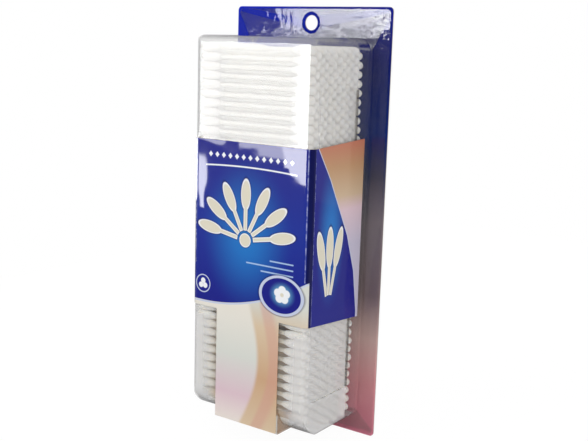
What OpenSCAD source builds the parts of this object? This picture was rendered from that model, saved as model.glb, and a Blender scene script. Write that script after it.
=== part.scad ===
// Cotton swab tub: a clear formed tub, packed with staggered layers of swabs, sealed on a hanging card,
// with a folded printed label round its front and sides.
// Origin: middle of the hang hole on the back face of the card. +X right, +Y to the wall behind, +Z up.

/* [Swabs] */
// Length of one swab, tip to tip
swab_l = 76; // [70:1:82]
// Diameter of the paper stick
stick_d = 2.4; // [2:0.1:2.8]
// Largest diameter of a cotton bud
bud_d = 4.75; // [4.4:0.05:5.4]
// Length of a cotton bud
bud_l = 14; // [12:0.5:17]
// Cotton left past the end of the stick
tip_l = 2.2; // [1.8:0.1:3]
// Thickness of the cotton where a bud starts on its stick
neck_t = 0.25; // [0.15:0.05:0.5]
// Length over which a bud swells from there to its full width
swell_l = 7.7; // [6:0.1:9]
// Diameter of the small flat at a bud's tip
tip_flat_d = 1.2; // [0.8:0.1:2]
// Gap between the buds of one layer
row_gap = 0.3; // [0.2:0.05:0.8]
// Gap between a bud and the buds of the next layer that it nests between
nest_gap = 0.08; // [0.04:0.01:0.15]
// Swabs in a full layer, one above the other
rows = 42; // [38:1:48]
// Layers from the front of the tub to the card
layers = 12; // [8:1:16]

/* [Tub] */
// Thickness of the formed plastic
wall = 0.5; // [0.3:0.05:0.7]
// Room between a swab's tip and the side wall
side_clear = 1.5; // [1.2:0.1:2.5]
// Room between the first layer and the front wall
front_clear = 0.15; // [0.1:0.05:0.5]
// Room between the last layer and the card
back_clear = 2.7; // [1:0.1:5]
// Room under the lowest buds
floor_clear = 0.1; // [0.05:0.05:0.3]
// Room above the highest buds
head_room = 3.6; // [1.4:0.1:6]
// Draft of the side walls and the top, in degrees
draft = 1; // [0:0.25:2]
// Radius of the upright front edges and the top front edge
edge_r = 3.6; // [3:0.2:5]
// Radius of the rounded foot under the buds, seen from the side
base_r = 18; // [12:1:22]
// Radius of the two top corners, seen from the front
top_corner_r = 8; // [4:0.5:9]
// Radius of the two bottom corners, seen from the front
base_corner_r = 4; // [2:0.5:6]
// Length over which the underside rises towards the card
heel_run = 9; // [4:0.5:10]
// Radius of that rise
heel_r = 15; // [12:1:30]
// Width of the square chin in the middle of the rounded foot
chin_w = 44.4; // [36:0.2:50]
// Radius of the chin's lower front edge
chin_edge_r = 1; // [0.8:0.1:3]

/* [Side panels] */
// Depth of the panel pressed into each side wall
panel_depth = 0.4; // [0.2:0.1:0.6]
// Front of the tub to the front edge of the panel
panel_front = 6; // [6:0.5:10]
// Back edge of the panel to the card
panel_back = 11.9; // [8:0.1:16]
// Underside of the tub to the bottom edge of the panel
panel_base = 21; // [21:0.5:30]
// Top of the tub to the top edge of the panel
panel_head = 26; // [12:0.5:34]

/* [Flange] */
// Thickness of the flange, which is drawn thinner than the walls
flange_t = 0.4; // [0.2:0.05:0.6]
// Card left bare round the flange
flange_margin = 1.2; // [0.5:0.1:3]
// Width of the step where the walls meet the flange
foot_w = 1.4; // [0.8:0.1:2]
// Height of that step
foot_h = 1.2; // [0.8:0.1:2]
// Diameter of the hole in the flange round the hang hole
flange_hole_d = 12.4; // [11:0.2:14]

/* [Card] */
// Thickness of the card
card_t = 0.6; // [0.4:0.05:1.2]
// Card showing on each side of the tub
card_side = 13; // [8:0.5:20]
// Card showing above the tub
card_head = 17.6; // [17:0.2:26]
// Card showing below the tub
card_foot = 10.4; // [4:0.2:16]
// Radius of the card's corners
card_corner_r = 2.5; // [1:0.5:5]
// Diameter of the hang hole
hole_d = 8.5; // [7:0.5:10]
// Middle of the hang hole to the card's top edge
hole_drop = 9; // [8.5:0.5:9.5]

/* [Label] */
// Thickness of the label board
label_t = 0.3; // [0.2:0.05:0.5]
// Room between the label and the tub
label_gap = 0.1; // [0.05:0.05:0.2]
// Height of the label on the front
label_h = 95.5; // [80:0.5:110]
// Underside of the tub to the lower edge of the label
label_rise = 64.6; // [50:0.2:70]
// Back edge of the label's side panels to the card
label_back = 4.4; // [3:0.1:12]
// How much a side panel widens upwards at its back edge
label_flare_up = 2.7; // [0:0.1:4]
// How much a side panel widens downwards at its back edge
label_flare_down = 3.4; // [0:0.1:5]
// Chin left bare on each side of the label's tongue
tongue_side = 0.5; // [0.2:0.1:2]
// Chin left bare below the tongue
tongue_drop = 0.6; // [0.3:0.1:3]
// Radius of the tongue's lower corners
tongue_corner_r = 0.8; // [0.4:0.1:2]

/* [Hidden] */
$fn = 48;
// Cotton is wound on the stick with no real gap, so this only keeps the two solids apart
wound_gap = 0.03;
// How far a cutting shape runs past what it cuts
over = 1;
// Straight lines that a bud's profile has along its swell and along its domed tip
swell_steps = 3;
dome_steps = 4;

bud_r = bud_d / 2;
stick_l = swab_l - 2 * tip_l;
neck_r = stick_d / 2 + neck_t;
row_pitch = bud_d + row_gap;
layer_step = sqrt(pow(bud_d + nest_gap, 2) - pow(row_pitch / 2, 2));

tub_w = swab_l + 2 * (side_clear + wall);
tub_d = wall + front_clear + bud_d + (layers - 1) * layer_step + back_clear;
tub_h = 2 * wall + floor_clear + bud_d + (rows - 1) * row_pitch + head_room;
tub_w_back = tub_w + 2 * tub_d * tan(draft);
tub_h_back = tub_h + tub_d * tan(draft);
first_layer_y = wall + front_clear + bud_r - tub_d;
first_row_z = wall + floor_clear + bud_r;

card_w = tub_w + 2 * card_side;
card_h = card_foot + tub_h + card_head;
tub_z = hole_drop - card_head - tub_h;

label_y = -tub_d - label_gap - label_t;
chin_h = base_r + edge_r;

layer_numbers = [for (i = [1 : layers]) i];
function two_digits(i) = str(i < 10 ? "0" : "", i);
function stick_node(i) = str("stick_layer_", two_digits(i));
function bud_node(i) = str("bud_layer_", two_digits(i));

// Points and centre of the arc that rounds corner p, between the neighbouring corners a and b
function unit(v) = v / norm(v);
function half_angle(a, p, b) = acos(unit(a - p) * unit(b - p)) / 2;
function on_edge(p, q, a, b, r) = p + unit(q - p) * r / tan(half_angle(a, p, b));
function arc_centre(a, p, b, r) =
    p + unit(unit(a - p) + unit(b - p)) * r / sin(half_angle(a, p, b));

// A convex outline with a true arc at each corner that has a radius
module rounded_outline(corners, radii) {
    n = len(corners);
    polygon([for (i = [0 : n - 1])
        let (a = corners[(i + n - 1) % n], p = corners[i], b = corners[(i + 1) % n], r = radii[i])
        each r > 0 ? [on_edge(p, a, a, b, r), on_edge(p, b, a, b, r)] : [p]]);
    for (i = [0 : n - 1])
        if (radii[i] > 0)
            translate(arc_centre(corners[(i + n - 1) % n], corners[i], corners[(i + 1) % n], radii[i]))
                circle(r = radii[i]);
}

// Extrudes an outline drawn in (y, z) along the whole width
module across(width) {
    translate([-width / 2, 0, 0]) rotate([90, 0, 90]) linear_extrude(width) children();
}

// Extrudes an outline drawn in (x, z) forwards from the plane at y
module forwards(y, depth) {
    translate([0, y, 0]) rotate([90, 0, 0]) linear_extrude(depth) children();
}

// The tub's three outlines, each set in from the outer faces by inset. Its mouth is at y = 0 or past it.
module plan_outline(inset, mouth_y) {
    front_x = tub_w / 2 - inset;
    back_x = tub_w / 2 + (tub_d + mouth_y) * tan(draft) - inset;
    front_y = inset - tub_d;
    r = edge_r - inset;
    rounded_outline([[-front_x, front_y], [front_x, front_y], [back_x, mouth_y], [-back_x, mouth_y]],
        [r, r, 0, 0]);
}

module side_outline(inset, mouth_y) {
    top_z = tub_h - inset;
    back_top_z = top_z + (tub_d + mouth_y) * tan(draft);
    front_y = inset - tub_d;
    difference() {
        rounded_outline([[front_y, inset], [mouth_y, inset], [mouth_y, back_top_z], [front_y, top_z]],
            [base_r - inset, 0, 0, edge_r - inset]);
        difference() {
            translate([-heel_run, inset - over]) square([heel_run + mouth_y + over, heel_r]);
            translate([-heel_run, heel_r]) circle(r = heel_r - inset);
        }
    }
}

module front_outline(inset, mouth_y) {
    side_x = tub_w_back / 2 + mouth_y * tan(draft) - inset;
    top_z = tub_h_back + mouth_y * tan(draft) - inset;
    rounded_outline([[-side_x, inset], [side_x, inset], [side_x, top_z], [-side_x, top_z]],
        [base_corner_r - inset, base_corner_r - inset, top_corner_r - inset, top_corner_r - inset]);
}

module main_form(inset, mouth_y) {
    intersection() {
        translate([0, 0, -over - foot_w]) linear_extrude(tub_h_back + 2 * (over + foot_w))
            plan_outline(inset, mouth_y);
        across(tub_w_back + 2 * (over + foot_w)) side_outline(inset, mouth_y);
        forwards(mouth_y, tub_d + mouth_y + over + foot_w) front_outline(inset, mouth_y);
    }
}

// The square chin fills the rounded foot out again between the two rows of buds
module chin_form(inset) {
    across(chin_w - 2 * inset)
        rounded_outline([[inset - tub_d, inset], [chin_h - tub_d, inset], [chin_h - tub_d, chin_h],
            [inset - tub_d, chin_h]], [chin_edge_r - inset, 0, 0, 0]);
}

// Both side panels, each as a block that reaches out past the wall
module panel_blocks(inset) {
    panel_x = tub_w / 2 - panel_depth - inset;
    reach = tub_w_back / 2 - panel_x + over;
    for (side = [-1, 1])
        translate([side > 0 ? panel_x : -panel_x - reach, panel_front - tub_d - inset, panel_base - inset])
            cube([reach, tub_d - panel_front - panel_back + 2 * inset,
                tub_h - panel_base - panel_head + 2 * inset]);
}

module tub_form(inset, mouth_y) {
    difference() {
        union() {
            main_form(inset, mouth_y);
            chin_form(inset);
        }
        panel_blocks(inset);
    }
}

// The step round the mouth, where the walls turn out into the flange
module foot_step() {
    intersection() {
        main_form(-foot_w, 0);
        translate([-card_w / 2, -flange_t - foot_h, -card_foot]) cube([card_w, foot_h, card_h]);
    }
}

module flange() {
    margin = flange_margin;
    half_w = card_w / 2 - margin;
    low_z = margin - card_foot;
    high_z = card_h - card_foot - margin;
    r = card_corner_r;
    difference() {
        forwards(0, flange_t)
            rounded_outline([[-half_w, low_z], [half_w, low_z], [half_w, high_z], [-half_w, high_z]],
                [r, r, r, r]);
        translate([0, over, -tub_z]) rotate([90, 0, 0]) cylinder(d = flange_hole_d, h = flange_t + 2 * over);
    }
}

module clear_tub() {
    color([0.9, 0.92, 0.94, 0.35])
        translate([0, -card_t, tub_z])
            difference() {
                union() {
                    tub_form(0, 0);
                    foot_step();
                    flange();
                }
                tub_form(wall, over);
            }
}

module backing_card() {
    half_w = card_w / 2;
    low_z = hole_drop - card_h;
    r = card_corner_r;
    color([0.16, 0.2, 0.5])
        difference() {
            forwards(0, card_t)
                rounded_outline([[-half_w, low_z], [half_w, low_z], [half_w, hole_drop], [-half_w, hole_drop]],
                    [r, r, r, r]);
            translate([0, over, 0]) rotate([90, 0, 0]) cylinder(d = hole_d, h = card_t + 2 * over);
        }
}

// The label seen from the side: straight on the front, with panels that widen towards the card
module label_side_outline() {
    fold_y = edge_r - tub_d;
    top_z = label_rise + label_h;
    polygon([[label_y - over, label_rise], [fold_y, label_rise], [-label_back, label_rise - label_flare_down],
        [-label_back, top_z + label_flare_up], [fold_y, top_z], [label_y - over, top_z]]);
}

module label_wrap() {
    intersection() {
        difference() {
            linear_extrude(tub_h) plan_outline(-label_gap - label_t, 0);
            translate([0, 0, -over]) linear_extrude(tub_h + 2 * over) plan_outline(-label_gap, over);
        }
        across(tub_w_back + 2 * over) label_side_outline();
    }
}

module label_tongue() {
    half_w = chin_w / 2 - tongue_side;
    top_z = label_rise + over;
    r = tongue_corner_r;
    forwards(label_y + label_t, label_t)
        rounded_outline([[-half_w, tongue_drop], [half_w, tongue_drop], [half_w, top_z], [-half_w, top_z]],
            [r, r, 0, 0]);
}

module front_label() {
    color([0.14, 0.2, 0.58])
        translate([0, -card_t, tub_z]) {
            label_wrap();
            label_tongue();
        }
}

// Half section of a bud: a blind socket for the stick, a neck that swells to the full bud, and a domed tip
// that ends in a small flat. The bud starts at 0 on its stick, and its tip is at bud_l.
function swell_point(i) =
    [neck_r + (bud_r - neck_r) * sin(90 * i / swell_steps), swell_l * i / swell_steps];
function dome_point(i) =
    let (tip_r = tip_flat_d / 2)
    [tip_r + (bud_r - tip_r) * cos(90 * i / dome_steps), bud_l - bud_r + bud_r * sin(90 * i / dome_steps)];

module bud_section() {
    socket_r = stick_d / 2 + wound_gap;
    socket_l = bud_l - tip_l + wound_gap;
    polygon(concat(
        [[socket_r, 0]],
        [for (i = [0 : swell_steps]) swell_point(i)],
        [for (i = [0 : dome_steps]) dome_point(i)],
        [[0, bud_l], [0, socket_l], [socket_r, socket_l]]));
}

module bud() {
    rotate_extrude() bud_section();
}

// A layer's swabs stand a row pitch apart, and every second layer half a pitch higher with one swab less
function is_raised(layer) = layer % 2 == 0;
function layer_y(layer) = first_layer_y + (layer - 1) * layer_step;
function row_z(layer, row) = first_row_z + (row - 1) * row_pitch + (is_raised(layer) ? row_pitch / 2 : 0);
function rows_in(layer) = is_raised(layer) ? rows - 1 : rows;

// A swab lies only where its buds clear the rounded foot and the rise at the heel
function clears_foot(y, z) =
    let (to_front = tub_d - base_r + y)
    to_front > 0 || z > base_r
    || norm([to_front, base_r - z]) <= base_r - wall - floor_clear - bud_r;
function clears_heel(y, z) =
    let (past_heel = y + heel_run)
    past_heel < 0 || z > heel_r
    || norm([past_heel, heel_r - z]) <= heel_r - wall - floor_clear - bud_r;

function layer_rows(layer) =
    [for (row = [1 : rows_in(layer)])
        if (clears_foot(layer_y(layer), row_z(layer, row)) && clears_heel(layer_y(layer), row_z(layer, row)))
            row_z(layer, row)];

module stick_layer(layer) {
    color([0.97, 0.96, 0.93])
        for (z = layer_rows(layer))
            translate([-stick_l / 2, layer_y(layer) - card_t, tub_z + z])
                rotate([0, 90, 0]) cylinder(d = stick_d, h = stick_l);
}

module bud_layer(layer) {
    color([1, 1, 1])
        for (z = layer_rows(layer), side = [-1, 1])
            translate([side * (swab_l / 2 - bud_l), layer_y(layer) - card_t, tub_z + z])
                rotate([0, side * 90, 0]) bud();
}

backing_card();
clear_tub();
front_label();
for (i = layer_numbers) {
    stick_layer(i);
    bud_layer(i);
}
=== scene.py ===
"""Looks of the cotton swab tub: print, clear plastic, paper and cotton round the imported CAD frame."""

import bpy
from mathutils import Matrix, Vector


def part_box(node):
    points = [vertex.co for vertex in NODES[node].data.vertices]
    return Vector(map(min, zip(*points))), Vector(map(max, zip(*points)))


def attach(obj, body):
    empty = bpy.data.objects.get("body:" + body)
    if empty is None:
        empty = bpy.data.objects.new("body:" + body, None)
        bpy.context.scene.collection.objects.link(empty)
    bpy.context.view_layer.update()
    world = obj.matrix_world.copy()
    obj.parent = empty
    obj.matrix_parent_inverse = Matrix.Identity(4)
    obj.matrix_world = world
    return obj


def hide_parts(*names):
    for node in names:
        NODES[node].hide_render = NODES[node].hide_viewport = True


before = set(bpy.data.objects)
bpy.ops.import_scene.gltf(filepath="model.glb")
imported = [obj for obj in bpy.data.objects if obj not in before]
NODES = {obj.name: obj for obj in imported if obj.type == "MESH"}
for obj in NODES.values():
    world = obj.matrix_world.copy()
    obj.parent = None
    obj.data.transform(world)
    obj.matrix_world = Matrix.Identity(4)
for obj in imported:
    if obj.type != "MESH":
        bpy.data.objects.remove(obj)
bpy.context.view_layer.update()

import math

import bpy
import numpy as np
from mathutils import Matrix, Vector

STICKS = sorted(n for n in NODES if n.startswith("stick_layer_"))
BUDS = sorted(n for n in NODES if n.startswith("bud_layer_"))
MM = 0.001


# ---------------------------------------------------------------- shader helpers


def srgb(r, g, b):
    """Linear colour of an 8-bit one."""
    return tuple((c / 255 / 12.92) if c <= 10 else ((c / 255 + 0.055) / 1.055) ** 2.4 for c in (r, g, b)) + (1.0,)


def grey(value):
    """A linear grey, or a plain number as a colour."""
    return (value, value, value, 1.0)


class Shader:
    """A node tree under construction, of a material or of the world. Its methods return output sockets."""

    def __init__(self, owner):
        self.owner = owner
        self.owner.use_nodes = True
        self.tree = self.owner.node_tree
        self.tree.nodes.clear()

    def put(self, socket, value):
        if isinstance(value, bpy.types.NodeSocket):
            self.tree.links.new(value, socket)
        else:
            socket.default_value = value

    def node(self, kind, inputs=None, **settings):
        node = self.tree.nodes.new("ShaderNode" + kind)
        for key, value in settings.items():
            setattr(node, key, value)
        for key, value in (inputs or {}).items():
            self.put(node.inputs[key], value)
        return node

    def math(self, operation, *values, clamp=False):
        node = self.node("Math", operation=operation, use_clamp=clamp)
        for socket, value in zip(node.inputs, values):
            self.put(socket, value)
        return node.outputs[0]

    def chain(self, operation, first, *others):
        for other in others:
            first = self.math(operation, first, other)
        return first

    def add(self, *values):
        return self.chain("ADD", *values)

    def sub(self, a, b):
        return self.math("SUBTRACT", a, b)

    def mul(self, *values):
        return self.chain("MULTIPLY", *values)

    def max(self, *values):
        return self.chain("MAXIMUM", *values)

    def min(self, *values):
        return self.chain("MINIMUM", *values)

    def abs(self, value):
        return self.math("ABSOLUTE", value)

    def step(self, value, low, high, a=0.0, b=1.0):
        """Smooth step from a to b as value goes from low to high."""
        node = self.node("MapRange", interpolation_type="SMOOTHSTEP")
        for key, v in zip(("Value", "From Min", "From Max", "To Min", "To Max"), (value, low, high, a, b)):
            self.put(node.inputs[key], v)
        return node.outputs[0]

    def fall(self, value, low, high):
        """Smooth step from 1 to 0 as value goes from low to high."""
        return self.step(value, low, high, 1.0, 0.0)

    def mix(self, factor, a, b):
        """Colour a where factor is 0, and b where it is 1."""
        node = self.node("Mix", data_type="RGBA")
        self.put(node.inputs[0], factor)
        self.put(node.inputs[6], a)
        self.put(node.inputs[7], b)
        return node.outputs[2]

    def ramp(self, value, stops):
        """Colour by value, from (place, colour) stops with places in the value's own unit."""
        low, high = stops[0][0], stops[-1][0]
        place = self.math("DIVIDE", self.sub(value, low), high - low, clamp=True)
        node = self.node("ValToRGB")
        self.put(node.inputs[0], place)
        elements = node.color_ramp.elements
        while len(elements) < len(stops):
            elements.new(0.5)
        for element, (at, colour) in zip(elements, stops):
            element.position = (at - low) / (high - low)
            element.color = colour
        return node.outputs[0]

    def split(self, vector):
        return self.node("SeparateXYZ", {0: vector}).outputs

    def place_mm(self):
        """The place in the CAD frame in millimetres, as a vector and as its x, y and z."""
        coords = self.node("TexCoord").outputs["Object"]
        scaled = self.node("VectorMath", {0: coords, "Scale": 1 / MM}, operation="SCALE").outputs[0]
        parts = self.split(scaled)
        return scaled, parts[0], parts[1], parts[2]

    def noise(self, vector, scale, detail=2.0, roughness=0.5, distortion=0.0):
        return self.node(
            "TexNoise",
            {"Vector": vector, "Scale": scale, "Detail": detail, "Roughness": roughness, "Distortion": distortion},
        ).outputs[0]

    def stretched(self, vector, scale):
        return self.node("Mapping", {"Vector": vector, "Scale": scale}).outputs[0]

    def bump(self, height, distance, strength):
        return self.node("Bump", {"Height": height, "Distance": distance, "Strength": strength}).outputs[0]

    def principled(self, inputs):
        return self.node("BsdfPrincipled", inputs).outputs[0]

    def blend(self, factor, a, b):
        """Shader a where factor is 0, and b where it is 1."""
        return self.node("MixShader", {0: factor, 1: a, 2: b}).outputs[0]

    def end(self, shader, output="OutputMaterial"):
        self.tree.links.new(shader, self.node(output).inputs[0])
        return self.owner


def material_shader(name):
    return Shader(bpy.data.materials.new(name))


def dress(node, material):
    """One material for all of a piece's faces."""
    node.data.materials.clear()
    node.data.materials.append(material)


# ---------------------------------------------------------------- drawn shapes


def ellipse(s, u, v, centre, radii):
    """About the distance, in the unit of u and v, from an ellipse's outline. It is negative inside."""
    a = s.math("DIVIDE", s.sub(u, centre[0]), radii[0])
    b = s.math("DIVIDE", s.sub(v, centre[1]), radii[1])
    length = s.math("SQRT", s.add(s.mul(a, a), s.mul(b, b)))
    return s.mul(s.sub(length, 1.0), min(radii))


def disc(s, u, v, centre, r):
    return ellipse(s, u, v, centre, (r, r))


def capsule(s, u, v, start, end, r):
    """Distance from a rounded bar between two points."""
    du, dv = end[0] - start[0], end[1] - start[1]
    pu, pv = s.sub(u, start[0]), s.sub(v, start[1])
    along = s.math("DIVIDE", s.add(s.mul(pu, du), s.mul(pv, dv)), du * du + dv * dv, clamp=True)
    eu, ev = s.sub(pu, s.mul(along, du)), s.sub(pv, s.mul(along, dv))
    return s.sub(s.math("SQRT", s.add(s.mul(eu, eu), s.mul(ev, ev))), r)


def inside(s, distance, edge=0.12):
    """1 inside a shape and 0 outside, with a soft edge."""
    return s.fall(distance, -edge, edge)


def stripe(s, value, at, half_w):
    """1 on the line where value is about at, and 0 beside it."""
    return inside(s, s.sub(s.abs(s.sub(value, at)), half_w))


def fan(s, u, v, foot, length, angles, bud):
    """Distances from drawn swabs that spread out from one foot: a thin bar each, with a long bud at its end."""
    shapes = []
    bar_r, bar_middle, bar_half = bud * 0.28, length * 0.5, length * 0.32
    bud_middle, bud_half = length * 0.77, length * 0.23
    from_u, from_v = s.sub(u, foot[0]), s.sub(v, foot[1])
    for angle in angles:
        du, dv = math.cos(math.radians(angle)), math.sin(math.radians(angle))
        run = s.add(s.mul(from_u, du), s.mul(from_v, dv))
        off = s.sub(s.mul(from_v, du), s.mul(from_u, dv))
        bar = s.max(s.sub(s.abs(off), bar_r), s.sub(s.abs(s.sub(run, bar_middle)), bar_half))
        shapes.append(s.min(bar, ellipse(s, run, off, (bud_middle, 0), (bud_half, bud))))
    return shapes


def drawn(s, base, distance, line_w, shade_w):
    """A cream shape with a white outline and a dark edge round it, over base."""
    colour = s.mix(s.step(distance, line_w, line_w + shade_w, 0.75, 0.0), base, SHADE)
    colour = s.mix(inside(s, s.sub(distance, line_w)), colour, WHITE)
    return s.mix(inside(s, distance, 0.25), colour, CREAM)


# ---------------------------------------------------------------- print

BLUE_DEEP = srgb(24, 28, 132)
BLUE = srgb(26, 48, 150)
BLUE_LIGHT = srgb(30, 118, 196)
NAVY = srgb(8, 12, 60)
WHITE = srgb(240, 242, 244)
CREAM = srgb(222, 216, 196)
SHADE = srgb(18, 22, 84)
RING = srgb(196, 204, 226)
BOARD = srgb(188, 140, 94)
TAN = srgb(200, 162, 126)
TAN_LIGHT = srgb(214, 192, 162)
ROSE = srgb(206, 150, 138)
PALE_GREEN = srgb(212, 214, 206)
PALE_PINK = srgb(216, 190, 198)
LILAC = srgb(194, 188, 206)

# Places on the label, in mm. The front is drawn over x and z, and a side over its depth behind FRONT_Y and z.
FRONT_Y = -54.0
FAN_FOOT = (-2.5, -118.5)
OVAL = (22.8, -145.4)
PUFF = (23.4, -144.8)
BADGE_Z = -147.6
LOZENGE_Z = -73.0
LOZENGE_STEP = 4.6
RULE_Z = -78.2
# Lower edge of the front's blue field: it is level at the left end and falls as a parabola to the right
FIELD_LOW = -157.2
FIELD_LEFT = -32.0
FIELD_FALL = 0.00417
# How far back the side's blue field reaches, by height over its lower end
SIDE_LOW = -160.0
SIDE_FIELD = [(0, 46.8), (24, 42.7), (45.4, 34.8), (77.8, 16.5), (94.6, 4.9)]


def draw_lozenges(s, blue, x, z):
    """A row of lozenges over a thin rule that sags towards its ends."""
    whole_steps = 40 * LOZENGE_STEP  # keeps the argument positive
    cell = s.math("PINGPONG", s.add(x, whole_steps), LOZENGE_STEP / 2)
    lozenge = s.add(cell, s.abs(s.mul(s.sub(z, LOZENGE_Z), 0.9)))
    row = s.mul(s.fall(lozenge, 1.3, 1.6), s.fall(s.abs(x), 29.6, 29.8))
    blue = s.mix(row, blue, WHITE)
    sag = s.mul(x, x, 0.0012)
    rule = s.sub(s.abs(s.add(s.sub(z, RULE_Z), sag)), 0.42)
    return s.mix(inside(s, s.max(rule, s.sub(s.abs(x), 31))), blue, WHITE)


def draw_badge(s, blue, x, z):
    """A ring with three puffs in it."""
    ring = s.abs(disc(s, x, z, (-32.0, BADGE_Z), 5.0))
    blue = s.mix(inside(s, s.sub(ring, 0.3)), blue, RING)
    puffs = s.min(*(disc(s, x, z, (u, BADGE_Z + rise), 1.6) for u, rise in ((-33.5, -1), (-30.5, -1), (-32, 1.6))))
    return s.mix(inside(s, puffs, 0.2), blue, WHITE)


def draw_oval(s, colour, x, z):
    """An oval with a light rim, a glow and a five-lobed puff."""
    oval = ellipse(s, x, z, OVAL, (13.3, 9.9))
    halo = ellipse(s, x, z, PUFF, (9.0, 7.6))
    face = s.mix(s.fall(halo, -7.6, 0.4), BLUE_DEEP, srgb(120, 200, 232))
    lobes = [ellipse(s, x, z, (PUFF[0] + 2.9 * math.cos(a), PUFF[1] + 2.7 * math.sin(a)), (2.5, 2.3))
             for a in (math.pi / 2 + i * 2 * math.pi / 5 for i in range(5))]
    face = s.mix(inside(s, s.min(*lobes), 0.3), face, WHITE)
    face = s.mix(inside(s, ellipse(s, x, z, PUFF, (1.2, 1.1)), 0.4), face, CREAM)
    colour = s.mix(s.step(oval, 1.4, 2.3, 0.55, 0.0), colour, SHADE)
    colour = s.mix(inside(s, s.sub(oval, 1.2)), colour, RING)
    return s.mix(inside(s, s.add(oval, 0.2)), colour, face)


def front_ground(s, x, z):
    """Pale ground with a wavy ribbon, from the label's lower part down the tongue."""
    left = s.ramp(z, [(-226, srgb(232, 224, 214)), (-208, PALE_PINK), (-185, PALE_GREEN),
                      (-155, srgb(232, 226, 214))])
    right = s.ramp(z, [(-226, TAN_LIGHT), (-195, TAN), (-165, TAN_LIGHT), (-150, PALE_GREEN)])
    swing = s.mul(s.math("SINE", s.mul(s.add(z, 226), 0.045)), 9.0)
    across = s.sub(x, s.add(swing, s.mul(s.add(z, 190), 0.10)))
    ground = s.mix(s.step(across, -3.0, 0.4), left, right)
    ribbon = s.mul(s.step(across, 5.0, 8.0), s.fall(across, 12.0, 17.0))
    return s.mix(s.mul(ribbon, 0.45), ground, ROSE)


def front_print(s, x, z):
    """The front and the tongue: a blue field with a fan of swabs, an oval and a badge."""
    glow = s.fall(ellipse(s, x, z, (-2, -116), (33, 46)), -33, 0)
    blue = s.mix(glow, s.ramp(z, [(-160, BLUE_DEEP), (-110, BLUE), (-65, BLUE_DEEP)]), BLUE_LIGHT)
    for shape in fan(s, x, z, FAN_FOOT, 33.0, (170, 143.3, 116.7, 90, 63.3, 36.7, 10), 2.9):
        blue = drawn(s, blue, shape, 0.45, 0.8)
    blue = drawn(s, blue, disc(s, x, z, FAN_FOOT, 3.4), 0.5, 0.8)
    blue = draw_lozenges(s, blue, x, z)
    for height, left in ((-133.8, 9.0), (-130.6, -1.0), (-127.4, 15.0)):  # three short rules above the oval
        rule = capsule(s, x, z, (left, height), (30.0, height), 0.4)
        blue = s.mix(s.mul(inside(s, rule), 0.8), blue, srgb(178, 206, 236))
    blue = draw_badge(s, blue, x, z)

    fall = s.mul(s.math("POWER", s.max(s.sub(x, FIELD_LEFT), 0.0), 2.0), FIELD_FALL)
    below = s.add(s.sub(FIELD_LOW, z), fall)
    colour = s.mix(s.step(below, -0.2, 0.1), blue, front_ground(s, x, z))
    colour = s.mix(stripe(s, below, 0.6, 0.5), colour, RING)
    return draw_oval(s, colour, x, z)


def side_print(s, y, z):
    """A side panel: a blue field with a bowed edge, and pale ground behind it."""
    back = s.sub(y, FRONT_Y)
    glow = s.fall(ellipse(s, back, z, (19, -112), (15, 44)), -15, 0)
    blue = s.mix(glow, BLUE_DEEP, BLUE_LIGHT)
    for shape in fan(s, back, z, (18.5, -153.0), 44.0, (104, 90, 76), 3.0):
        blue = drawn(s, blue, shape, 0.4, 0.7)
    bow = s.ramp(s.sub(z, SIDE_LOW), [(up, grey(depth)) for up, depth in SIDE_FIELD])
    behind = s.sub(back, bow)
    ground = s.ramp(z, [(-160, LILAC), (-120, LILAC), (-100, PALE_PINK), (-92, srgb(202, 176, 146)),
                        (-76, srgb(188, 146, 108)), (-62, srgb(190, 116, 92))])
    colour = s.mix(s.step(behind, -0.15, 0.15), blue, ground)
    return s.mix(stripe(s, behind, 0.4, 0.3), colour, RING)


def label_material():
    """Printed board with a glossy, slightly wavy coat."""
    s = material_shader("label_print")
    vector, x, y, z = s.place_mm()
    on_side = s.step(y, -52.7, -52.5)
    colour = s.mix(on_side, front_print(s, x, z), side_print(s, y, z))

    # a band of painted dark reflection round the fold, and painted highlight lines along both creases, beside the
    # blue field only
    in_field = s.step(s.add(z, s.mul(on_side, 30)), -136.5, -135.5)
    fold_dark_reflection = s.mul(s.step(y, -54.1, -53.8), s.fall(y, -51.4, -51.0))
    # painted dark reflection: the fold band is darkened to navy
    colour = s.mix(s.mul(fold_dark_reflection, in_field, 0.85), colour, NAVY)
    # painted highlight lines along the two creases, broken up in patches by noise
    crease_highlight = s.min(s.abs(s.add(y, 54.15)), s.abs(s.add(y, 50.9)))
    crease_highlight = s.mul(s.fall(crease_highlight, 0.05, 0.14), s.step(s.abs(x), 36.2, 36.4))
    patchy_highlight = s.step(s.noise(vector, 0.4, 3.0), 0.4, 0.62, 0.1, 0.6)
    colour = s.mix(s.mul(crease_highlight, in_field, patchy_highlight), colour, RING)

    # outer faces carry the print, cut edges and the inner face are bare board
    normal = s.split(s.node("NewGeometry").outputs["True Normal"])
    outward = s.add(s.mul(normal[0], s.mul(x, 1 / 40)), s.mul(normal[1], s.mul(s.add(y, 30), 1 / 24)))
    colour = s.mix(s.step(outward, 0.2, 0.4), BOARD, colour)

    fine = s.noise(vector, 1.6, 3.0)
    return s.end(s.principled({
        "Base Color": colour, "Roughness": s.step(fine, 0.3, 0.7, 0.34, 0.42), "Specular IOR Level": 0.1,
        "Normal": s.bump(fine, 0.00002, 0.3), "Coat Weight": 1.0, "Coat Roughness": 0.03, "Coat IOR": 1.5,
        "Coat Normal": s.bump(s.noise(vector, 0.035, 1.0), 0.0016, 0.2),
    }))


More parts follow.
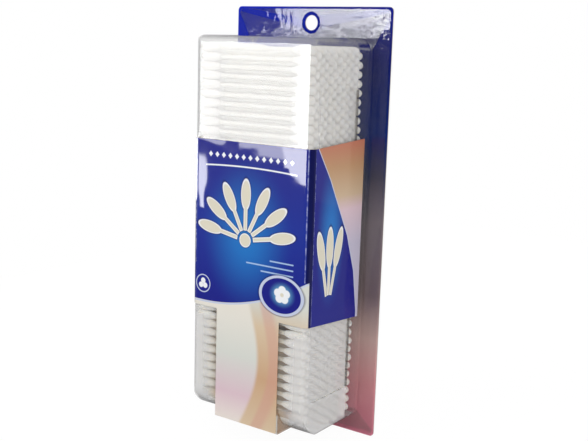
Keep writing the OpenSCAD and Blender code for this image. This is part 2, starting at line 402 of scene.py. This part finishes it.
def card_material():
    """A front that runs from blue to rose, and a bare grey back."""
    s = material_shader("card_print")
    vector, x, y, z = s.place_mm()
    behind_print = (-0.56, -0.5)
    front = s.ramp(z, [
        (-236, srgb(226, 138, 158)), (-205, srgb(230, 156, 162)), (-178, srgb(222, 186, 180)),
        (-152, srgb(144, 124, 126)), (-110, srgb(136, 126, 130)), (-84, srgb(74, 78, 106)),
        (-60, srgb(18, 46, 126)), (-12, srgb(14, 22, 108)), (9, srgb(14, 24, 140)),
    ])
    upper_left = s.mul(s.fall(x, -30, 20), s.step(z, -40, 0))
    front = s.mix(upper_left, front, srgb(8, 36, 184))
    board = s.mix(s.noise(vector, 0.9, 5.0), srgb(172, 166, 156), srgb(190, 186, 178))
    return s.end(s.principled({
        "Base Color": s.mix(s.step(y, *behind_print), front, board),
        "Roughness": s.step(y, *behind_print, 0.45, 0.85),
        "Specular IOR Level": 0.05, "Normal": s.bump(s.noise(vector, 0.8, 4.0), 0.00003, 0.4),
    }))


# ---------------------------------------------------------------- plastic, paper, cotton

WARM = srgb(196, 150, 100)  # paper and cotton in the shade beside the tongue


def plastic_material():
    """Clear sheet: it lets light through, has a white haze, and mirrors more towards grazing views."""
    s = material_shader("clear_plastic")
    vector, x, y, z = s.place_mm()
    wide = s.abs(x)
    ripple = s.mul(s.noise(vector, 0.22, 2.0), s.step(y, -4, -3, 0.2, 0.7))  # stronger on the flange
    normal = s.bump(s.add(s.noise(vector, 0.05, 2.0), ripple), 0.0012, 0.12)
    facing = s.node("LayerWeight", {"Blend": 0.5, "Normal": normal}).outputs["Facing"]
    along_x, along_y, along_z = (s.abs(n) for n in s.split(s.node("NewGeometry").outputs["True Normal"]))

    # the pressed panel of a side wall, with painted dark refraction as a line at its back edge, and its ledges at top
    # and bottom
    on_side = s.step(wide, 38.8, 39.3)
    ledge = s.mul(on_side, s.step(along_z, 0.25, 0.45))
    no_ledge = s.sub(1.0, ledge)
    on_panel = s.mul(on_side, s.fall(y, -13.1, -12.8), s.step(y, -52.5, -50.0))
    painted_panel_edge_dark = s.mul(s.fall(s.abs(s.add(y, 12.5)), 0.2, 0.45), on_side,
                       s.step(z, -204.5, -203.5), s.fall(z, -36, -35))
    grazing = s.mul(s.math("POWER", facing, 3.6), no_ledge)
    tint = s.mix(grazing, (0.985, 0.988, 0.985, 1), (0.36, 0.37, 0.38, 1))
    # painted dark refraction: the tint darkens along the panel's back edge
    tint = s.mix(s.mul(painted_panel_edge_dark, 0.75), tint, (0.16, 0.15, 0.15, 1))

    # haze: a little everywhere, more on the panels, on rounded edges, low on the front and in its window
    curved = s.max(s.mul(along_x, along_y), s.mul(along_y, along_z), s.mul(along_x, along_z))
    curved = s.mul(s.step(curved, 0.02, 0.2), s.fall(y, -3, -2), no_ledge)
    low_front = s.mul(s.fall(z, -167, -165), s.step(wide, 26, 33, 0.12, 0.29))
    window = s.mul(s.step(z, -66, -64), 0.21)
    haze = s.max(
        s.add(s.step(y, -2.5, -1.5, 0.03, 0.008), s.mul(on_panel, s.step(z, -190, -90, 0.27, 0.18))),
        s.mul(curved, s.step(z, -175, -150, 0.28, 0.16)),
        s.mul(s.max(low_front, window), s.fall(y, -51.0, -48.0)),
    )
    haze = s.mul(haze, s.sub(1.0, s.mul(ledge, 0.5)))

    # painted brown shade on the chin's sides behind the tongue, and painted warm shade in the haze on the front
    # beside the tongue
    chin_shade = s.mul(s.fall(s.abs(s.sub(wide, 21.9)), 0.5, 0.6), s.fall(z, -204.5, -204.0), s.step(y, -53.3, -53.0))
    warm_shade_beside_tongue = s.mul(s.fall(wide, 23, 30), s.fall(z, -166, -164))
    milk = s.mix(warm_shade_beside_tongue, (0.9, 0.89, 0.89, 1), (0.92, 0.8, 0.64, 1))
    milk = s.node("BsdfDiffuse", {"Color": s.mix(chin_shade, milk, srgb(176, 138, 100))}).outputs[0]
    clear = s.node("BsdfTransparent", {"Color": tint}).outputs[0]
    body = s.blend(s.add(haze, s.mul(chin_shade, 0.45)), clear, milk)

    # Schlick's share of mirrored light, from 4 percent face on
    gloss = s.node("BsdfAnisotropic", {"Color": grey(1), "Roughness": 0.045, "Normal": normal}).outputs[0]
    share = s.mul(s.add(s.mul(s.math("POWER", facing, 5.0), 0.96), 0.04), no_ledge)
    return s.end(s.blend(share, body, gloss))


def warm_gap(s, x, y, z):
    """How far a place lies in the brown shade behind the edges of the label's tongue."""
    return s.mul(s.fall(s.abs(x), 23, 31), s.fall(z, -166, -160), s.step(y, -50.8, -49.0))


def paper_material():
    s = material_shader("rolled_paper")
    vector, x, y, z = s.place_mm()
    fibre = s.noise(s.stretched(vector, (0.25, 1.6, 1.6)), 1.0, 4.0)
    tone = s.mix(s.step(fibre, 0.3, 0.7), srgb(248, 242, 230), srgb(254, 250, 242))
    # painted shade: the paper of the first layer is made a little darker than the layers behind it
    tone = s.mix(s.step(y, -50.0, -47.5, 0.12, 0.0), tone, (0.3, 0.29, 0.28, 1))  # the first layer is darker
    tone = s.mix(warm_gap(s, x, y, z), tone, WARM)
    return s.end(s.principled({
        "Base Color": tone, "Roughness": 0.62, "Specular IOR Level": 0.3, "Normal": s.bump(fibre, 0.00006, 0.5),
        "Subsurface Weight": 0.6, "Subsurface Scale": 0.0016, "Subsurface Radius": (1, 0.9, 0.75),
    }))


def cotton_material():
    s = material_shader("wound_cotton")
    vector, x, y, z = s.place_mm()
    fibre = s.noise(s.stretched(vector, (1.0, 2.4, 2.4)), 1.1, 6.0, 0.62, 0.6)
    height = s.add(fibre, s.mul(s.noise(vector, 0.55, 2.0), 0.6))
    tone = s.mix(s.step(fibre, 0.3, 0.7), srgb(241, 236, 229), srgb(252, 249, 244))
    tone = s.mix(warm_gap(s, x, y, z), tone, WARM)

    # faces near the tips that turn away from the side and the front, behind the first layer, lie in shade
    normal = s.split(s.node("NewGeometry").outputs["Normal"])
    shown = s.max(s.abs(normal[0]), s.mul(normal[1], -1.0))
    hidden = s.mul(s.step(shown, 0.1, 0.7, 0.32, 0.0), s.step(s.abs(x), 31, 35), s.step(y, -50.0, -48.5))
    tone = s.mix(hidden, tone, srgb(150, 146, 142))
    return s.end(s.principled({
        "Base Color": tone, "Roughness": 0.95, "Specular IOR Level": 0.1, "Sheen Weight": 0.25,
        "Sheen Roughness": 0.5, "Normal": s.bump(height, 0.0003, 0.6),
        "Subsurface Weight": 0.6, "Subsurface Scale": 0.002, "Subsurface Radius": (1, 0.92, 0.8),
    }))


dress(NODES["backing_card"], card_material())
dress(NODES["clear_tub"], plastic_material())
dress(NODES["front_label"], label_material())


# ---------------------------------------------------------------- swabs

SEED = 20261130
BUD_L = 14.0
BUD_R = 2.5
BUD_SIDES = 20
STICK_R = 1.2
STICK_SIDES = 14
STICK_RINGS = 5
END_RISE = 0.04  # how far the middle of a tube's last end stands out, in mm
# Radius of a bud along its length, in mm, from its neck to its tip
BUD_PROFILE = [(0.0, 1.12), (0.0, 1.44), (0.7, 1.60), (1.8, 1.86), (3.2, 2.12), (4.8, 2.33), (6.6, 2.45),
               (8.6, 2.50), (10.4, 2.49), (11.6, 2.38), (12.5, 2.14), (13.2, 1.76), (13.7, 1.24), (13.95, 0.62)]
# Lumps of a bud: waves round it, their run along it in radians a mm, and their height in mm
LUMPS = [(2, 0.9, 0.035), (3, -1.7, 0.030), (5, 2.6, 0.018), (0, 2.1, 0.020)]
# Spreads of one swab's own place: slide along x with its limit, shift, tilt a mm, and bow, in mm
SLIDE, MOST_SLIDE, SHIFT, TILT, BOW = 0.28, 0.8, 0.035, 0.0009, 0.05


def tube(rings, sides):
    """Faces of a closed tube: rings of vertices, then the middle of its first and of its last end."""
    faces = []
    for i in range(rings - 1):
        for j in range(sides):
            k = (j + 1) % sides
            faces.append((i * sides + j, i * sides + k, (i + 1) * sides + k, (i + 1) * sides + j))
    first, last = rings * sides, rings * sides + 1
    for j in range(sides):
        k = (j + 1) % sides
        faces.append((first, k, j))
        faces.append((last, (rings - 1) * sides + j, (rings - 1) * sides + k))
    return faces


def tube_points(x, radii, axis, turn, sides):
    """Points of one tube along X. radii has one row a ring, and axis is the rings' y and z."""
    y, z = axis
    a = turn + np.arange(sides) * 2 * np.pi / sides
    ring_y = y[:, None] + radii * np.cos(a)
    ring_z = z[:, None] + radii * np.sin(a)
    ring_x = np.repeat(x[:, None], sides, 1)
    points = np.stack([ring_x, ring_y, ring_z], -1).reshape(-1, 3)
    ends = np.array([[x[0], y[0], z[0]], [x[-1] + np.sign(x[-1] - x[0]) * END_RISE, y[-1], z[-1]]])
    return np.vstack([points, ends])


def mesh_piece(name, blocks, faces, material, node):
    """One object of many like tubes, which stands for a CAD node. The tubes take the face lists in turn."""
    count = len(blocks[0])
    mesh = bpy.data.meshes.new(name)
    every = [tuple(i + n * count for i in f) for n in range(len(blocks)) for f in faces[n % len(faces)]]
    mesh.from_pydata([tuple(p) for p in np.vstack(blocks) * MM], [], every)
    mesh.polygons.foreach_set("use_smooth", [True] * len(mesh.polygons))
    mesh.materials.append(material)
    thing = bpy.data.objects.new(name, mesh)
    bpy.context.scene.collection.objects.link(thing)
    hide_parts(node)
    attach(thing, "root")


def rows_of(node):
    """Heights of the sticks of a layer and the layer's own depth, in mm."""
    points = np.array([v.co for v in NODES[node].data.vertices]) / MM
    z = np.sort(points[:, 2])
    cuts = np.flatnonzero(np.diff(z) > 1.0)
    low = np.concatenate([[z[0]], z[cuts + 1]])
    high = np.concatenate([z[cuts], [z[-1]]])
    return (low + high) / 2, (points[:, 1].min() + points[:, 1].max()) / 2


def axis_at(x, half, middle, tilt, bow):
    """y and z of a swab's axis: a line through middle, tilted, and bowed between its ends."""
    t = x / half
    return [middle[i] + tilt[i] * x + bow[i] * (1 - t * t) for i in (0, 1)]


def build_swabs():
    """Sticks and buds of every layer. The draws from rng keep their order: a swab, its stick, right bud, left bud."""
    rng = np.random.default_rng(SEED)
    paper, cotton = paper_material(), cotton_material()
    along, radius = np.array(BUD_PROFILE).T
    bud_right = tube(len(along), BUD_SIDES)
    bud_left = [tuple(reversed(f)) for f in bud_right]
    stick_faces = tube(STICK_RINGS, STICK_SIDES)
    corner = np.arange(BUD_SIDES) * 2 * np.pi / BUD_SIDES
    for stick_node, bud_node in zip(STICKS, BUDS):
        heights, depth = rows_of(stick_node)
        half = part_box(bud_node)[1].x / MM
        stick_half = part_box(stick_node)[1].x / MM
        sticks, buds = [], []
        for z in heights:
            slide = max(-MOST_SLIDE, min(MOST_SLIDE, rng.normal(0, SLIDE)))
            shift = rng.normal(0, SHIFT, 2)
            line = (half, (depth + shift[0], z + shift[1]), rng.normal(0, TILT, 2), rng.normal(0, BOW, 2))

            x = np.linspace(-stick_half, stick_half, STICK_RINGS) + slide
            radii = np.full((STICK_RINGS, STICK_SIDES), STICK_R)
            sticks.append(tube_points(x, radii, axis_at(x, *line), rng.uniform(0, 1), STICK_SIDES))
            for side in (1, -1):
                x = side * (half - BUD_L + along) + slide
                fat = 1 + rng.normal(0, 0.012)
                phases = rng.uniform(0, 2 * np.pi, len(LUMPS))
                lumps = sum(np.sin(corner[None, :] * waves + along[:, None] * run + phase) * high
                            for (waves, run, high), phase in zip(LUMPS, phases))
                grown = radius[:, None] * fat + lumps * (radius[:, None] / BUD_R)
                buds.append(tube_points(x, grown, axis_at(x, *line), rng.uniform(0, 6.28), BUD_SIDES))
        number = stick_node[-2:]
        mesh_piece("paper_sticks_" + number, sticks, [stick_faces], paper, stick_node)
        mesh_piece("cotton_buds_" + number, buds, [bud_right, bud_left], cotton, bud_node)


build_swabs()


# ---------------------------------------------------------------- stage, light, camera

FLOOR_Z = -0.2357


def floor_plane(name, centre, width, depth):
    w, d = width / 2, depth / 2
    mesh = bpy.data.meshes.new(name)
    mesh.from_pydata([(-w, -d, 0), (w, -d, 0), (w, d, 0), (-w, d, 0)], [], [(0, 1, 2, 3)])
    thing = bpy.data.objects.new(name, mesh)
    thing.location = centre
    bpy.context.scene.collection.objects.link(thing)
    return thing


def seen_through(s, paths):
    """1 for rays from the camera, also through the plastic."""
    return s.max(paths["Is Camera Ray"], paths["Is Transmission Ray"])


def floor_material():
    """Almost white to the camera, pale grey to light, and darker in reflections."""
    s = material_shader("pale_floor")
    paths = s.node("LightPath").outputs
    matt = s.node("BsdfDiffuse", {"Color": s.mix(paths["Is Glossy Ray"], grey(0.88), grey(0.3))}).outputs[0]
    white = s.node("Emission", {"Color": grey(1), "Strength": 1.02}).outputs[0]
    return s.end(s.blend(s.mul(seen_through(s, paths), 0.95), matt, white))


def studio_world():
    """White to the camera, an even soft light, and in reflections darker on the photographer's side."""
    world = bpy.data.worlds.new("studio")
    s = Shader(world)
    paths = s.node("LightPath").outputs
    direction = s.split(s.node("TexCoord").outputs["Generated"])
    mirrored = s.mix(s.step(direction[1], -0.1, 0.5), (0.04, 0.04, 0.045, 1), (0.34, 0.34, 0.35, 1))
    light = s.mix(paths["Is Glossy Ray"], (0.66, 0.66, 0.67, 1), mirrored)
    colour = s.mix(seen_through(s, paths), light, grey(1))
    s.end(s.node("Background", {"Color": colour, "Strength": 1.0}).outputs[0], "OutputWorld")
    return world


floor = floor_plane("floor", (0.1, 0.2, FLOOR_Z), 1.0, 0.9)
floor.data.materials.append(floor_material())
bpy.context.scene.world = studio_world()


def lamp(name, centre, target, width, height, radiance, glossy=True, roll=0.0):
    """A rectangular lamp of an even radiance, facing target and turned by roll about that line.

    A glossy lamp shows only in reflections, and any other one only lights.
    """
    data = bpy.data.lights.new(name, "AREA")
    data.shape = "RECTANGLE"
    data.size, data.size_y = width, height
    data.energy = radiance * math.pi * width * height
    thing = bpy.data.objects.new(name, data)
    thing.location = centre
    facing = (Vector(target) - Vector(centre)).to_track_quat("-Z", "Y").to_matrix()
    thing.rotation_euler = (facing @ Matrix.Rotation(math.radians(roll), 3, "Z")).to_euler()
    thing.visible_glossy = glossy
    thing.visible_diffuse = not glossy
    thing.visible_camera = False
    bpy.context.scene.collection.objects.link(thing)


def front_gloss(name, x, y, z, width, height, radiance, roll=0.0):
    """A glossy lamp in front of the pack, facing straight back to it."""
    lamp(name, (x, y, z), (x, 0, z), width, height, radiance, roll=roll)


lamp("key", (-0.9, -1.5, 0.7), (0, 0, -0.1), 1.0, 1.0, 3.7, glossy=False)
lamp("fill", (1.6, -0.55, 0.25), (0, 0, -0.1), 0.9, 0.9, 3.6, glossy=False)
front_gloss("card_gloss", -0.273, -0.45, 0.045, 0.145, 0.09, 13.5)
front_gloss("window_gloss", -0.30, -0.452, -0.06, 0.17, 0.115, 6.2)
front_gloss("edge_gloss", -0.236, -0.45, -0.0607, 0.022, 0.114, 5.5)
front_gloss("corner_gloss", -0.2209, -0.451, 0.0227, 0.06, 0.024, 4.5, roll=-33.6)

# The glare on the label, above a line that falls to the right: left, right and low end on its front, in mm, and
# radiance. From the camera, a point (x, z) of the front mirrors the point SPREAD * (x, z) + MIRRORED of the plane
# GLOSS_Y.
LABEL_GLOSS = [(-34, -14, -67.0, 8.0), (-14, 2, -69.5, 8.0), (2, 17, -72.0, 8.0), (17, 22, -75.5, 14.0),
               (22, 26, -80.5, 14.0), (26, 31, -85.5, 14.0), (31, 36, -89.0, 14.0), (36, 43, -91.5, 14.0)]
LABEL_TOP = -65
GLOSS_Y = -0.455
SPREAD = 1.978
MIRRORED = (-0.3057, 0.0106)
for i, (left, right, low, radiance) in enumerate(LABEL_GLOSS):
    front_gloss(f"label_gloss_{i}", SPREAD * (left + right) / 2 * MM + MIRRORED[0], GLOSS_Y,
                SPREAD * (low + LABEL_TOP) / 2 * MM + MIRRORED[1],
                SPREAD * (right - left) * MM, SPREAD * (LABEL_TOP - low) * MM, radiance)
front_gloss("rim_gloss", -0.381, GLOSS_Y, -0.1635, 0.012, 0.075, 14.0)
lamp("left_gloss", (-0.5, -0.12, -0.145), (0, -0.12, -0.145), 0.42, 0.065, 9.0)

# The camera that was fitted to the photograph's straight edges
CAMERA_AT = (0.31254, -0.45877, -0.0108)
CAMERA_YAW, CAMERA_DOWN, CAMERA_ROLL = 0.6102, 0.185, 0.0309
camera_data = bpy.data.cameras.new("camera")
camera_data.sensor_fit = "HORIZONTAL"
camera_data.sensor_width = 36
camera_data.lens = 58.52
camera = bpy.data.objects.new("camera", camera_data)
turn = (Matrix.Rotation(CAMERA_YAW, 4, "Z") @ Matrix.Rotation(math.pi / 2 - CAMERA_DOWN, 4, "X")
        @ Matrix.Rotation(CAMERA_ROLL, 4, "Z"))
camera.matrix_world = Matrix.Translation(CAMERA_AT) @ turn
bpy.context.scene.collection.objects.link(camera)
bpy.context.scene.camera = camera
bpy.context.scene.view_settings.view_transform = "Standard"
